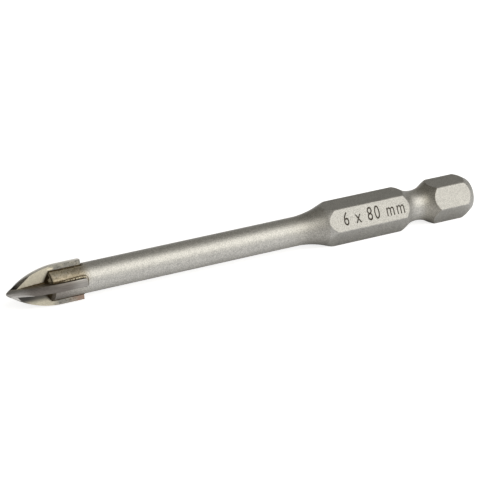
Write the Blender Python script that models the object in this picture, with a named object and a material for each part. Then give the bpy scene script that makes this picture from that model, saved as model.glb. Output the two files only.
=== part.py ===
# Glass and tile drill bit: a turned steel shank with a hexagonal drive and four brazed carbide blades.
# The bit lies along X on one flat of its hexagon. The origin is the centre of the shank's end face.
# The tip is at +X. Lengths are in metres and angles in degrees.

import math

import bmesh
import bpy
from mathutils import Matrix, Vector

# Whole bit
overall_length = 0.080

# Hexagonal drive
hex_across_flats = 0.00635
hex_corner_diameter = 0.00724
hex_front_from_end = 0.0257
end_face_diameter = 0.0052
end_chamfer_angle = 31.0
end_edge_radius = 0.00025

# Locking groove, measured where its shoulders leave the hexagon's corners
groove_centre_from_end = 0.0100
groove_width = 0.0064
groove_floor_diameter = 0.00476
groove_shoulder_angle = 31.0

# Taper from the hexagon to the shaft
taper_angle = 20.0
taper_blend_radius = 0.013

# Shaft and its slotted nose
shaft_diameter = 0.0046
nose_rim_from_tip = 0.0066
nose_cone_angle = 118.0
nose_chamfer = 0.0002

# Carbide plates: one right through the shaft and a half plate on each side of it
cutting_diameter = 0.0062
plate_thickness = 0.00120
through_plate_length = 0.0118
half_plate_length = 0.01195
point_length = 0.0084
blade_clocking = 15.0

# Relief ground on the trailing side of every cutting edge
relief_length = 0.0038
relief_line_angle = 37.0
relief_bevel_angle = 50.0

# Brazed joint
braze_film = 0.00010
plate_film = 0.00004
joint_gap = 0.00001
slot_corner_radius = 0.00035
slot_end_clearance = 0.00025
seam_width = 0.00025
seam_height = 0.00020
seam_start_from_tip = 0.0018
seam_overrun = 0.00025
seam_root_diameter = 0.0032
film_proud = 0.00004

# Smoothness
segments_round = 72
segments_blend = 8
segments_point = 16
segments_corner = 4

merge_distance = 1e-8
shaft_radius = shaft_diameter / 2
cutting_radius = cutting_diameter / 2
half_thickness = plate_thickness / 2

# Each blade's turn from the first one, and how far it reaches back from the tip
blades = (
    (0, through_plate_length),
    (90, half_plate_length),
    (180, through_plate_length),
    (270, half_plate_length),
)

# Cutting forms are made larger than what they cut
hexagon_form_length = 2 * overall_length
slot_form_depth = 2 * hex_corner_diameter
head_form_length = 2 * half_plate_length


def remove_everything():
    for old in list(bpy.data.objects):
        bpy.data.objects.remove(old)


def make_material(name, color, roughness, metallic):
    material = bpy.data.materials.new(name)
    material.use_nodes = True
    shader = material.node_tree.nodes["Principled BSDF"]
    shader.inputs["Base Color"].default_value = (*color, 1.0)
    shader.inputs["Roughness"].default_value = roughness
    shader.inputs["Metallic"].default_value = metallic
    return material


def finish_object(bm, name, material=None):
    """Close a bmesh into an object with its faces pointing out."""
    bmesh.ops.remove_doubles(bm, verts=bm.verts, dist=merge_distance)
    bmesh.ops.recalc_face_normals(bm, faces=bm.faces)
    mesh = bpy.data.meshes.new(name)
    bm.to_mesh(mesh)
    bm.free()
    thing = bpy.data.objects.new(name, mesh)
    bpy.context.scene.collection.objects.link(thing)
    if material:
        mesh.materials.append(material)
    return thing


def make_cutter(thing):
    """A cutter shapes other pieces and is never a piece itself."""
    thing.hide_render = True
    thing.display_type = "WIRE"
    return thing


def combine(target, other, operation):
    modifier = target.modifiers.new(f"{operation.title()} {other.name}", "BOOLEAN")
    modifier.operation = operation
    modifier.solver = "EXACT"
    modifier.object = other


def clock(thing, degrees):
    """Turn a piece about the bit's axis, from the horizontal towards +Z."""
    thing.rotation_euler.x = math.radians(degrees)
    return thing


def turn_profile(profile, name, material=None):
    """Spin a list of (distance from the end, radius) points about the bit's axis."""
    bm = bmesh.new()
    verts = [bm.verts.new((x, radius, 0.0)) for x, radius in profile]
    edges = [bm.edges.new(pair) for pair in zip(verts, verts[1:])]
    bmesh.ops.spin(
        bm, geom=verts + edges, cent=(0, 0, 0), axis=(1, 0, 0),
        angle=2 * math.pi, steps=segments_round, use_merge=True,
    )
    return finish_object(bm, name, material)


def extrude_outline(outline, depth, name, material=None):
    """Extrude a flat outline of (x, y) points by depth, half of it to each side of its plane."""
    bm = bmesh.new()
    face = bm.faces.new([bm.verts.new((x, y, -depth / 2)) for x, y in outline])
    grown = bmesh.ops.extrude_face_region(bm, geom=[face])
    top = [item for item in grown["geom"] if isinstance(item, bmesh.types.BMVert)]
    bmesh.ops.translate(bm, verts=top, vec=(0, 0, depth))
    return finish_object(bm, name, material)


# Shank

def groove_profile():
    """Straight shoulders that run tangent into a round floor."""
    slope = math.radians(groove_shoulder_angle)
    top = hex_corner_diameter / 2
    floor = groove_floor_diameter / 2
    sharp_floor = top - math.tan(slope) * groove_width / 2
    floor_arc_radius = (floor - sharp_floor) / (1 / math.cos(slope) - 1)
    points = [(groove_centre_from_end - groove_width / 2, top)]
    for step in range(2 * segments_blend + 1):
        turn = slope * (step / segments_blend - 1)
        x = groove_centre_from_end + floor_arc_radius * math.sin(turn)
        points.append((x, floor + floor_arc_radius * (1 - math.cos(turn))))
    points.append((groove_centre_from_end + groove_width / 2, top))
    return points


def taper_profile():
    """A straight cone off the hexagon's corners that blends into the shaft with an arc."""
    slope = math.radians(taper_angle)
    arc_rise = taper_blend_radius * (1 - math.cos(slope))
    cone_rise = hex_corner_diameter / 2 - shaft_radius - arc_rise
    arc_start = hex_front_from_end + cone_rise / math.tan(slope)
    arc_end = arc_start + taper_blend_radius * math.sin(slope)
    points = [(hex_front_from_end, hex_corner_diameter / 2)]
    for step in range(segments_blend + 1):
        turn = slope * (1 - step / segments_blend)
        x = arc_end - taper_blend_radius * math.sin(turn)
        points.append((x, shaft_radius + taper_blend_radius * (1 - math.cos(turn))))
    return points


def nose_profile(grown=0.0):
    """The shaft's front end: a small rim chamfer and a blunt cone that the slots cut into four."""
    rim = overall_length - nose_rim_from_tip
    radius = shaft_radius + grown
    cone_radius = radius - nose_chamfer
    cone_rise = cone_radius / math.tan(math.radians(nose_cone_angle / 2))
    return [(rim - nose_chamfer, radius), (rim + grown, cone_radius), (rim + grown + cone_rise, 0.0)]


def end_profile():
    """The flat end face, its rounded edge and the chamfer up to the hexagon's corners."""
    slope = math.radians(end_chamfer_angle)
    chamfer_rise = (hex_corner_diameter - end_face_diameter) / 2
    edge_turn = math.pi / 2 - slope
    edge_centre = end_face_diameter / 2 - end_edge_radius * math.tan(edge_turn / 2)
    points = [(0.0, 0.0)]
    for step in range(segments_corner + 1):
        turn = edge_turn * step / segments_corner
        x = end_edge_radius * (1 - math.cos(turn))
        points.append((x, edge_centre + end_edge_radius * math.sin(turn)))
    points.append((chamfer_rise / math.tan(slope), hex_corner_diameter / 2))
    return points


def make_shank(material):
    profile = end_profile() + groove_profile() + taper_profile() + nose_profile()
    shank = turn_profile(profile, "steel_shank", material)

    hexagon = bmesh.new()
    across_corners = hex_across_flats / math.cos(math.radians(30))
    bmesh.ops.create_cone(
        hexagon, cap_ends=True, segments=6, radius1=across_corners / 2,
        radius2=across_corners / 2, depth=hexagon_form_length,
        matrix=Matrix.Rotation(math.radians(90), 4, "Y"),
    )
    combine(shank, make_cutter(finish_object(hexagon, "hexagon_cutter")), "INTERSECT")
    return shank


# Slots for the plates

def slot_box(name, last_plate_length, shrink=0.0):
    """A slot right across the shaft, open at the nose, with rounded corners at its closed end."""
    width = plate_thickness + 2 * braze_film - 2 * shrink
    back = overall_length - last_plate_length - slot_end_clearance + shrink
    front = overall_length
    radius = slot_corner_radius - shrink
    outline = [(front, -width / 2), (front, width / 2)]
    for side in (1, -1):
        for step in range(segments_corner + 1):
            turn = math.radians(90) * step / segments_corner
            along = turn if side == 1 else math.radians(90) - turn
            x = back + radius * (1 - math.sin(along))
            y = side * (width / 2 - radius * (1 - math.cos(along)))
            outline.append((x, y))
    return extrude_outline(outline, slot_form_depth, name)


# Carbide plates

def point_radius(from_tip):
    """The ground point is an arc that runs tangent into the full cutting radius."""
    arc_radius = (cutting_radius ** 2 + point_length ** 2) / (2 * cutting_radius)
    left = max(point_length - from_tip, 0.0)
    return math.sqrt(arc_radius ** 2 - left ** 2) - (arc_radius - cutting_radius)


def make_ground_form():
    """The round pointed form that grinding gives all the plates together."""
    stations = [point_length * step / segments_point for step in range(segments_point + 1)]
    profile = [(overall_length - station, point_radius(station)) for station in stations]
    back = overall_length - head_form_length
    profile += [(back, cutting_radius), (back, 0.0)]
    return make_cutter(turn_profile(profile, "ground_form"))


def slab_outline(length, root):
    """A plate before it is ground: from its root out past the cutting radius, and past the tip."""
    front = overall_length + half_thickness
    back = overall_length - length
    return [(front, root), (front, cutting_diameter), (back, cutting_diameter), (back, root)]


def grind_relief(plate, turned_over=False):
    """Bevel the trailing side of one cutting edge with a single flat cut."""
    line = math.radians(relief_line_angle)
    bevel = math.radians(relief_bevel_angle)
    outward = Vector((math.sin(line), math.cos(line), 0.0))
    normal = outward * math.sin(bevel) + Vector((0, 0, -1)) * math.cos(bevel)
    run_out_radius = math.sqrt(point_radius(relief_length) ** 2 - half_thickness ** 2)
    run_out = Vector((overall_length - relief_length, run_out_radius, -half_thickness))
    if turned_over:
        half_turn = Matrix.Rotation(math.pi, 3, "X")
        normal = half_turn @ normal
        run_out = half_turn @ run_out
    bm = bmesh.new()
    bm.from_mesh(plate.data)
    bmesh.ops.bisect_plane(
        bm, geom=bm.verts[:] + bm.edges[:] + bm.faces[:], dist=merge_distance,
        plane_co=run_out, plane_no=normal, clear_outer=True,
    )
    bmesh.ops.holes_fill(bm, edges=[edge for edge in bm.edges if edge.is_boundary])
    bmesh.ops.recalc_face_normals(bm, faces=bm.faces)
    bm.to_mesh(plate.data)
    bm.free()


def make_through_plate(ground_form, material):
    outline = slab_outline(through_plate_length, -cutting_diameter)
    plate = extrude_outline(outline, plate_thickness, "carbide_through_plate", material)
    grind_relief(plate)
    grind_relief(plate, turned_over=True)
    combine(plate, ground_form, "INTERSECT")
    return clock(plate, blade_clocking)


def make_half_plate(name, degrees, ground_form, material):
    """A half plate whose blade lies the given angle round from the through plate's first blade."""
    outline = slab_outline(half_plate_length, half_thickness + plate_film)
    plate = extrude_outline(outline, plate_thickness, name, material)
    grind_relief(plate)
    combine(plate, ground_form, "INTERSECT")
    return clock(plate, blade_clocking + degrees)


# Filler metal

def nose_solid(name, grown):
    """The unslotted nose with a little added all over, to trim the filler metal against."""
    back = overall_length - head_form_length
    profile = [(back, 0.0), (back, shaft_radius + grown)] + nose_profile(grown)
    return make_cutter(turn_profile(profile, name))


def make_seams(grown_nose):
    """Fillets that stand on the shaft along both sides and round the back of each blade's foot."""
    wide = half_thickness + braze_film + seam_width
    narrow = half_thickness + braze_film / 2
    low = math.sqrt(shaft_radius ** 2 - wide ** 2)
    high = math.sqrt(shaft_radius ** 2 - half_thickness ** 2) + seam_height
    half_section = [(seam_root_diameter / 2, wide), (low, wide), (high, narrow)]
    section = half_section + [(y, -z) for y, z in reversed(half_section)]
    front = overall_length - nose_rim_from_tip - nose_chamfer
    bm = bmesh.new()
    for turn, length in blades:
        back = overall_length - length - seam_overrun
        turned = Matrix.Rotation(math.radians(turn), 3, "X")
        face = bm.faces.new([bm.verts.new(turned @ Vector((back, y, z))) for y, z in section])
        grown = bmesh.ops.extrude_face_region(bm, geom=[face])
        far = [item for item in grown["geom"] if isinstance(item, bmesh.types.BMVert)]
        bmesh.ops.translate(bm, verts=far, vec=(front - back, 0, 0))
    seams = finish_object(bm, "seam_form")
    combine(seams, grown_nose, "DIFFERENCE")
    return make_cutter(clock(seams, blade_clocking))


def make_corner_fillets(grown_nose):
    """Filler that ran forward along the four inner corners between the blades, tapering to nothing."""
    front = overall_length - seam_start_from_tip
    back = overall_length - nose_rim_from_tip
    reach_back = plate_thickness + seam_width
    reach_front = plate_thickness + joint_gap
    bm = bmesh.new()
    bmesh.ops.create_cone(
        bm, cap_ends=True, segments=4, radius1=reach_back, radius2=reach_front, depth=front - back,
        matrix=Matrix.Translation(((front + back) / 2, 0, 0)) @ Matrix.Rotation(math.radians(90), 4, "Y"),
    )
    fillets = finish_object(bm, "corner_fillet_form")
    combine(fillets, grown_nose, "DIFFERENCE")
    return make_cutter(clock(fillets, blade_clocking))


def make_braze(material):
    """What is left of the slots once the plates are in, with its fillets, as one body."""
    braze = slot_box("braze_filler", through_plate_length, shrink=joint_gap)
    braze.data.materials.append(material)
    clock(braze, blade_clocking + 90)
    cross = slot_box("half_plate_slot_fill", half_plate_length, shrink=joint_gap)
    combine(braze, make_cutter(clock(cross, blade_clocking)), "UNION")
    combine(braze, nose_solid("filler_limit", film_proud), "INTERSECT")
    grown_nose = nose_solid("nose_with_gap", joint_gap)
    combine(braze, make_seams(grown_nose), "UNION")
    combine(braze, make_corner_fillets(grown_nose), "UNION")
    through = slab_outline(through_plate_length + joint_gap, -cutting_diameter)
    half = slab_outline(half_plate_length + joint_gap, half_thickness + plate_film - joint_gap)
    for turn, outline in ((0, through), (90, half), (270, half)):
        room = extrude_outline(outline, plate_thickness + 2 * joint_gap, f"plate_room_{turn}")
        combine(braze, make_cutter(clock(room, blade_clocking + turn)), "DIFFERENCE")
    return braze


def cut_slots(shank):
    through = slot_box("through_plate_slot", through_plate_length)
    across = slot_box("half_plate_slot", half_plate_length)
    combine(shank, make_cutter(clock(through, blade_clocking + 90)), "DIFFERENCE")
    combine(shank, make_cutter(clock(across, blade_clocking)), "DIFFERENCE")


def main():
    remove_everything()
    steel = make_material("blasted_steel", (0.52, 0.51, 0.49), 0.45, 1.0)
    carbide = make_material("ground_carbide", (0.33, 0.32, 0.31), 0.35, 1.0)
    braze = make_material("braze", (0.55, 0.40, 0.20), 0.40, 1.0)
    cut_slots(make_shank(steel))
    ground_form = make_ground_form()
    make_through_plate(ground_form, carbide)
    make_half_plate("carbide_half_plate_upper", 90, ground_form, carbide)
    make_half_plate("carbide_half_plate_lower", 270, ground_form, carbide)
    make_braze(braze)


main()
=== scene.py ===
# %% [markdown]
# Glass and tile drill bit, dressed for a studio picture.
# A drill bit for glass and tile is a turned steel shank with a hexagon at one end. At the other end,
# crossed plates of hard carbide are brazed into slots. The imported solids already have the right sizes.
# This script builds finer pieces in the same places: rounder turning, broken edges, engraved numbers,
# uneven brazing, and a finish for every surface.

import math

import bmesh
import bpy
from mathutils import Matrix, Quaternion, Vector, noise


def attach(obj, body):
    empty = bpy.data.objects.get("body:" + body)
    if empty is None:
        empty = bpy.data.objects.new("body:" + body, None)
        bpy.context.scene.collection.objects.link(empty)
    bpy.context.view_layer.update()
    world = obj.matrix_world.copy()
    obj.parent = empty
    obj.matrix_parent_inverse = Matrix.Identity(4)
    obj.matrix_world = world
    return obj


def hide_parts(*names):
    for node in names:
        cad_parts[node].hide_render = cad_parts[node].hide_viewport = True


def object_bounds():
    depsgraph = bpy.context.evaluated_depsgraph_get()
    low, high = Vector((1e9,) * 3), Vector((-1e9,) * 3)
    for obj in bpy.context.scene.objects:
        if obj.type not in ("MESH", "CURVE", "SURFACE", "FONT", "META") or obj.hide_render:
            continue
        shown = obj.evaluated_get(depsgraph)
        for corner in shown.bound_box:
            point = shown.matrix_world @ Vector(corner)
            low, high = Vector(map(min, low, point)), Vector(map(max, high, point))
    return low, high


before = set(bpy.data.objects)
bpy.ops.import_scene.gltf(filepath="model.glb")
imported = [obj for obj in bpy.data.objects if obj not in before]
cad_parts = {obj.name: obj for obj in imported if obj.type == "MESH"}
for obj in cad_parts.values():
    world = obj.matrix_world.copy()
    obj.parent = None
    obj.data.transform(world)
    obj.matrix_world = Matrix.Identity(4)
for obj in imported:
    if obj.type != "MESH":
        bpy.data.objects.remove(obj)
cad_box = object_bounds()

MM = 0.001
overall_length = 80.0 * MM
hex_half = cad_box[1].z
hex_corner_radius = 3.62 * MM
print("packed nodes:", sorted(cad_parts))
print(f"tip of the solids at {cad_box[1].x / MM:.2f} mm, hexagon {2 * hex_half / MM:.2f} mm across flats")

# %% [markdown]
# The camera comes first, because every later choice is judged through it.
# The photograph looks across the bit, from a little in front of its tip, and down by 26 degrees. A
# long lens close to the bit gives the mild perspective. The view is stored as a target, a heading
# and a distance, which is easier to read and to change than a matrix.

# %% Camera
view_target = Vector((41.29 * MM, 0.0, 0.59 * MM))
view_distance = 325.21 * MM
view_heading = math.radians(241.97)
view_elevation = math.radians(25.99)
view_roll = math.radians(0.74)
lens_length = 158.48


def add_object(name, data):
    made = bpy.data.objects.new(name, data)
    bpy.context.scene.collection.objects.link(made)
    return made


forward = Vector((
    math.cos(view_heading) * math.cos(view_elevation),
    math.sin(view_heading) * math.cos(view_elevation),
    -math.sin(view_elevation),
))
camera_data = bpy.data.cameras.new("camera")
camera_data.lens = lens_length
camera_data.sensor_width = 36.0
camera_data.clip_start = 0.01
camera_data.clip_end = 20.0
camera = add_object("camera", camera_data)
camera.location = view_target - forward * view_distance
camera.rotation_mode = "QUATERNION"
camera.rotation_quaternion = forward.to_track_quat("-Z", "Y") @ Quaternion((0, 0, 1), view_roll)
bpy.context.scene.camera = camera
print("camera at", [round(value / MM, 1) for value in camera.location], "mm")

# %% [markdown]
# Small helpers for meshes. Each piece is drawn in a bmesh, closed, and turned into an object.
# The object stays at the origin and unturned, and its place is in its vertices.

# %% Mesh helpers: closing and cutting
merge_distance = 1e-7


def whole(bm):
    return bm.verts[:] + bm.edges[:] + bm.faces[:]


def make_object(bm, name, *materials):
    """Close a bmesh into an object at the origin, with its faces pointing out."""
    bmesh.ops.remove_doubles(bm, verts=bm.verts, dist=merge_distance)
    bmesh.ops.recalc_face_normals(bm, faces=bm.faces)
    mesh = bpy.data.meshes.new(name)
    bm.to_mesh(mesh)
    bm.free()
    for material in materials:
        mesh.materials.append(material)
    return add_object(name, mesh)


def cut_flat(bm, point, outward):
    """Cut everything off beyond a plane and close the cut. Returns the new faces."""
    bmesh.ops.bisect_plane(
        bm, geom=whole(bm), dist=merge_distance, plane_co=point, plane_no=outward, clear_outer=True
    )
    rim = [edge for edge in bm.edges if edge.is_boundary]
    return bmesh.ops.holes_fill(bm, edges=rim)["faces"]


def soften_edges(bm, width, least_angle, segments=2):
    """Break the sharp edges, as handling and blasting do."""
    least = math.radians(least_angle)
    sharp = [edge for edge in bm.edges if edge.is_manifold and edge.calc_face_angle() > least]
    bmesh.ops.bevel(
        bm, geom=sharp, offset=width, offset_type="OFFSET", segments=segments, profile=0.5,
        affect="EDGES", clamp_overlap=True, material=-1,
    )
    return len(sharp)


# %% [markdown]
# Some pieces meet in curves that no single operator draws, such as a slot across a cone. There a
# Boolean modifier makes the cut, and its result replaces the mesh at once, so nothing stays live.
# Smooth shading would bend the light on flat faces, and a Weighted Normal modifier prevents that.

# %% Mesh helpers: Booleans, shading and measures
def carve(target, cutter, operation="DIFFERENCE"):
    """Cut one closed mesh with another for good, and throw the cutter away."""
    modifier = target.modifiers.new("carve", "BOOLEAN")
    modifier.operation = operation
    modifier.solver = "EXACT"
    modifier.material_mode = "TRANSFER"
    modifier.object = cutter
    evaluated = target.evaluated_get(bpy.context.evaluated_depsgraph_get())
    carved = bpy.data.meshes.new_from_object(evaluated)
    target.modifiers.clear()
    target.data = carved
    bpy.data.objects.remove(cutter)


def smooth_with_flats(thing, sharp_angle):
    """Shade round parts smooth and keep flat faces flat."""
    thing.data.shade_smooth()
    thing.data.set_sharp_from_angle(angle=math.radians(sharp_angle))
    weighted = thing.modifiers.new("keep flats flat", "WEIGHTED_NORMAL")
    weighted.keep_sharp = True


def clock(degrees):
    """A turn about the bit's axis, from the horizontal towards the top."""
    return Matrix.Rotation(math.radians(degrees), 4, "X")


def report_piece(thing):
    faces = len(thing.data.polygons)
    bm = bmesh.new()
    bm.from_mesh(thing.data)
    open_edges = sum(1 for edge in bm.edges if not edge.is_manifold)
    volume = bm.calc_volume() / MM ** 3
    bm.free()
    print(f"{thing.name}: {faces} faces, {open_edges} open edges, {volume:.2f} mm3")


# %% [markdown]
# Materials are networks of nodes, and a few helpers keep them readable in a script. The first adds
# a node, sets its options, and sets or links its inputs. The others do plain arithmetic.

# %% Node helpers: nodes and arithmetic
def add_node(tree, kind, inputs=None, **settings):
    """Add a node, set its options, and set or link its inputs."""
    made = tree.nodes.new(kind)
    for option, value in settings.items():
        setattr(made, option, value)
    for socket, value in (inputs or {}).items():
        if isinstance(value, bpy.types.NodeSocket):
            tree.links.new(value, made.inputs[socket])
        else:
            made.inputs[socket].default_value = value
    return made


def math_node(tree, operation, first, second=0.0, third=0.0, clamp=False):
    inputs = {0: first, 1: second, 2: third}
    return add_node(tree, "ShaderNodeMath", inputs, operation=operation, use_clamp=clamp).outputs[0]


def times(tree, first, second):
    return math_node(tree, "MULTIPLY", first, second)


def minus(tree, first, second):
    return math_node(tree, "SUBTRACT", first, second)


def times_plus(tree, value, factor, addend):
    return math_node(tree, "MULTIPLY_ADD", value, factor, addend)


def length_of(tree, first, second):
    """How long the diagonal of two distances is."""
    squares = [times(tree, value, value) for value in (first, second)]
    return math_node(tree, "SQRT", math_node(tree, "ADD", *squares))


# %% [markdown]
# A mask is a number from 0 to 1 that says how much of an effect a point of the surface gets. Masks
# are made from distances with a ramp, multiplied where all must hold, and joined with a maximum
# where one is enough. Colours are then mixed by a mask, or darkened by a film that multiplies them.

# %% Node helpers: masks and colours
white = (1.0, 1.0, 1.0, 1.0)


def both(tree, *masks):
    """Where all of several masks meet."""
    total = masks[0]
    for mask in masks[1:]:
        total = math_node(tree, "MULTIPLY", total, mask, clamp=True)
    return total


def either(tree, *masks):
    """Where at least one of several masks is."""
    total = masks[0]
    for mask in masks[1:]:
        total = math_node(tree, "MAXIMUM", total, mask)
    return total


def blend_colors(tree, amount, first, second, mode="MIX"):
    """The Mix node keeps its two colours in sockets 6 and 7, and its mixed colour in output 2."""
    inputs = {0: amount, 6: first, 7: second}
    return add_node(tree, "ShaderNodeMix", inputs, data_type="RGBA", blend_type=mode).outputs[2]


def filter_color(tree, color, film, amount=1.0):
    """A colour seen through a thin film, which multiplies it."""
    return blend_colors(tree, amount, color, film, mode="MULTIPLY")


def ramp(tree, value, low, high, to_low=0.0, to_high=1.0):
    """Turn low..high into to_low..to_high with soft ends."""
    inputs = {"Value": value, "From Min": low, "From Max": high, "To Min": to_low, "To Max": to_high}
    made = add_node(tree, "ShaderNodeMapRange", inputs, interpolation_type="SMOOTHSTEP", clamp=True)
    return made.outputs["Result"]


# %% [markdown]
# A node group is an effect with named inputs and outputs. It is built once and then placed in
# several materials with different values. Here the groups put out plain numbers: masks, shades,
# heights and distances.

# %% Group helpers
float_kind = "NodeSocketFloat"


def new_group(name, inputs, outputs):
    """A node group with plain number inputs, each with its starting value, and number outputs."""
    group = bpy.data.node_groups.new(name, "ShaderNodeTree")
    for label, value in inputs.items():
        socket = group.interface.new_socket(label, in_out="INPUT", socket_type=float_kind)
        socket.default_value = value
    for label in outputs:
        group.interface.new_socket(label, in_out="OUTPUT", socket_type=float_kind)
    entry = group.nodes.new("NodeGroupInput")
    result = group.nodes.new("NodeGroupOutput")
    return group, entry.outputs, result.inputs


def use_group(tree, group, **inputs):
    named = {label.replace("_", " "): value for label, value in inputs.items()}
    return add_node(tree, "ShaderNodeGroup", named, node_tree=group).outputs


# %% [markdown]
# Patterns are placed by Object coordinates, which stay fixed to the piece. The shader itself stays
# in the material: values that are the same all over are set on it, and what varies over the surface
# is linked to it at the end.

# %% Material helpers
def object_coordinates(tree):
    return tree.nodes.new("ShaderNodeTexCoord").outputs["Object"]


def object_noise(tree, size, **inputs):
    """Noise that stays on the piece, with lumps of about the given size in millimetres."""
    scale = math_node(tree, "DIVIDE", 1 / MM, size)
    placed = {"Vector": object_coordinates(tree), "Scale": scale, **inputs}
    return add_node(tree, "ShaderNodeTexNoise", placed).outputs[0]


def new_material(name, **constants):
    """A material with its Principled shader. Values that are the same all over are set on it."""
    material = bpy.data.materials.new(name)
    material.use_nodes = True
    shader = material.node_tree.nodes["Principled BSDF"]
    for label, value in constants.items():
        shader.inputs[label.replace("_", " ")].default_value = value
    return material, material.node_tree, shader


def finish_surface(tree, shader, color, roughness, height, strength, depth):
    """Link a colour, a roughness and a bump of some depth in millimetres to the shader."""
    bump_inputs = {"Strength": strength, "Distance": depth * MM, "Height": height}
    bump = add_node(tree, "ShaderNodeBump", bump_inputs).outputs[0]
    for label, value in {"Base Color": color, "Roughness": roughness, "Normal": bump}.items():
        tree.links.new(value, shader.inputs[label])


# %% [markdown]
# The stains follow the blades and the slots that hold them, so the sizes of these are needed from
# here on. A slot is wider than its plate by a film of filler on each side, and a little longer.

# %% Sizes of the plates and their slots
blade_clocking = 15.0
plate_thickness = 1.20 * MM
through_plate_length = 11.8 * MM
half_plate_length = 11.95 * MM
braze_film = 0.10 * MM
slot_corner = 0.35 * MM
slot_end_clearance = 0.25 * MM
through_slot_back = (through_plate_length + slot_end_clearance) / MM
half_slot_back = (half_plate_length + slot_end_clearance) / MM
print(f"slots end {through_slot_back:.2f} and {half_slot_back:.2f} mm behind the tip")

# %% [markdown]
# Every stain and mark follows the bit itself, so the first group works out where a point of the
# surface lies: how far along the axis, how far from it, and how far from the nearest carbide plate.
# Folding the cross of plates onto one quarter with absolute values lets one number serve all four
# blades. Same Side is 1 in the two quarters where the stains are strongest, and 0 in the other two.

# %% Group: place on the bit
def from_slot_edge(group, from_plate, from_tip, near_foot):
    """The distance to the edge of a blade's slot, whose closed end has rounded corners."""
    corner = slot_corner / MM
    slot_back = times_plus(group, near_foot, through_slot_back - half_slot_back, half_slot_back)
    past_side = math_node(group, "ADD", from_plate, corner - braze_film / MM)
    past_end = math_node(group, "ADD", minus(group, from_tip, slot_back), corner)
    outside = [math_node(group, "MAXIMUM", value, 0.0) for value in (past_side, past_end)]
    return minus(group, length_of(group, *outside), corner)


def build_place_group():
    labels = (
        "From Tip", "Radius", "From Plate", "From Corner", "From Slot",
        "Toward Near", "Toward Upper", "Same Side", "Near Foot",
    )
    group, _, result = new_group("place_on_bit", {}, labels)
    in_mm = {0: object_coordinates(group), "Scale": 1 / MM}
    scaled = add_node(group, "ShaderNodeVectorMath", in_mm, operation="SCALE").outputs[0]
    turn_back = {"Vector": scaled, "Angle": -math.radians(blade_clocking)}
    turned = add_node(group, "ShaderNodeVectorRotate", turn_back, rotation_type="X_AXIS").outputs[0]
    along, near, upper = add_node(group, "ShaderNodeSeparateXYZ", {0: turned}).outputs
    from_tip = minus(group, overall_length / MM, along)
    folded = [math_node(group, "ABSOLUTE", value) for value in (near, upper)]
    half = plate_thickness / 2 / MM
    from_plate = minus(group, math_node(group, "MINIMUM", *folded), half)
    from_corner = minus(group, math_node(group, "MAXIMUM", *folded), half)
    same_side = math_node(group, "GREATER_THAN", times(group, near, upper), 0.0)
    near_foot = math_node(group, "GREATER_THAN", *folded)
    from_slot = from_slot_edge(group, from_plate, from_tip, near_foot)
    radius = length_of(group, near, upper)
    values = (from_tip, radius, from_plate, from_corner, from_slot, near, upper, same_side, near_foot)
    for label, value in zip(labels, values):
        group.links.new(value, result[label])
    return group


place_group = build_place_group()
print("group", place_group.name, "with", len(place_group.nodes), "nodes")


def along_bit(tree, place, start, full, *ends):
    """A mask along the axis, by the distance from the tip in millimetres."""
    return ramp(tree, place["From Tip"], start, full, *ends)


# %% [markdown]
# Blasting with fine grit leaves a satin surface of tiny dents. Two sizes of noise do this: a fine
# one for the sparkle of single dents, and a coarser one for the cloudiness between them.
# The group gives a shade that varies round one half and a height for a Bump node.

# %% Group: blasted grain
def build_grain_group():
    inputs = {"Grain Size": 0.09, "Cloud Size": 0.9, "Cloud Share": 0.35}
    group, given, result = new_group("blasted_grain", inputs, ("Shade", "Height"))
    grain = object_noise(group, given["Grain Size"], Detail=2.0, Roughness=0.6)
    cloud = object_noise(group, given["Cloud Size"], Detail=3.0, Roughness=0.55)
    mixed = {0: given["Cloud Share"], 2: grain, 3: cloud}
    shade = add_node(group, "ShaderNodeMix", mixed, data_type="FLOAT").outputs[0]
    group.links.new(shade, result["Shade"])
    group.links.new(grain, result["Height"])
    return group


grain_group = build_grain_group()
print("group", grain_group.name, "with", len(grain_group.nodes), "nodes")

# %% [markdown]
# Grinding leaves fine scratches that all run one way. Noise that is squeezed along one axis does
# this. Here the scratches run along the bit, as the wheel crossed the plates lengthwise.

# %% Group: grinding marks
def build_grinding_group():
    inputs = {"Spacing": 0.05, "Length": 3.0}
    group, given, result = new_group("grinding_marks", inputs, ("Shade",))
    position = add_node(group, "ShaderNodeSeparateXYZ", {0: object_coordinates(group)}).outputs
    sizes = (given["Length"], given["Spacing"], given["Spacing"])
    stretched = {}
    for axis, size in enumerate(sizes):
        scale = math_node(group, "DIVIDE", 1 / MM, size)
        stretched[axis] = times(group, position[axis], scale)
    vector = add_node(group, "ShaderNodeCombineXYZ", stretched).outputs[0]
    fine = {"Vector": vector, "Scale": 1.0, "Detail": 3.0, "Roughness": 0.6}
    group.links.new(add_node(group, "ShaderNodeTexNoise", fine).outputs[0], result["Shade"])
    return group


grinding_group = build_grinding_group()
print("group", grinding_group.name, "with", len(grinding_group.nodes), "nodes")

# %% [markdown]
# Brazing is done red hot under a flux. Flux and oxide dry as dark brown lines in the corners beside
# the plates, and a golden brown haze spreads over the metal round them. The group turns a distance
# from some edge into a mask that is full at the edge, and noise breaks up the stain's border.

# %% Group: stain with an uneven border
# This brown is also used as painted shade in the recesses and corners near the plates.
flux_and_shade_brown = (0.040, 0.027, 0.012, 1.0)


def build_stain_group():
    inputs = {"Distance": 0.0, "Width": 0.2, "Patch Size": 0.45}
    group, given, result = new_group("stain_border", inputs, ("Mask",))
    wobble = object_noise(group, given["Patch Size"], Detail=3.0)
    uneven_width = times(group, given["Width"], times_plus(group, wobble, 2.4, -0.2))
    group.links.new(ramp(group, given["Distance"], uneven_width, 0.0), result["Mask"])
    return group


stain_group = build_stain_group()
print("group", stain_group.name, "with", len(stain_group.nodes), "nodes")


def stain(tree, distance, width, patch_size):
    return use_group(tree, stain_group, Distance=distance, Width=width, Patch_Size=patch_size)["Mask"]


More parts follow.
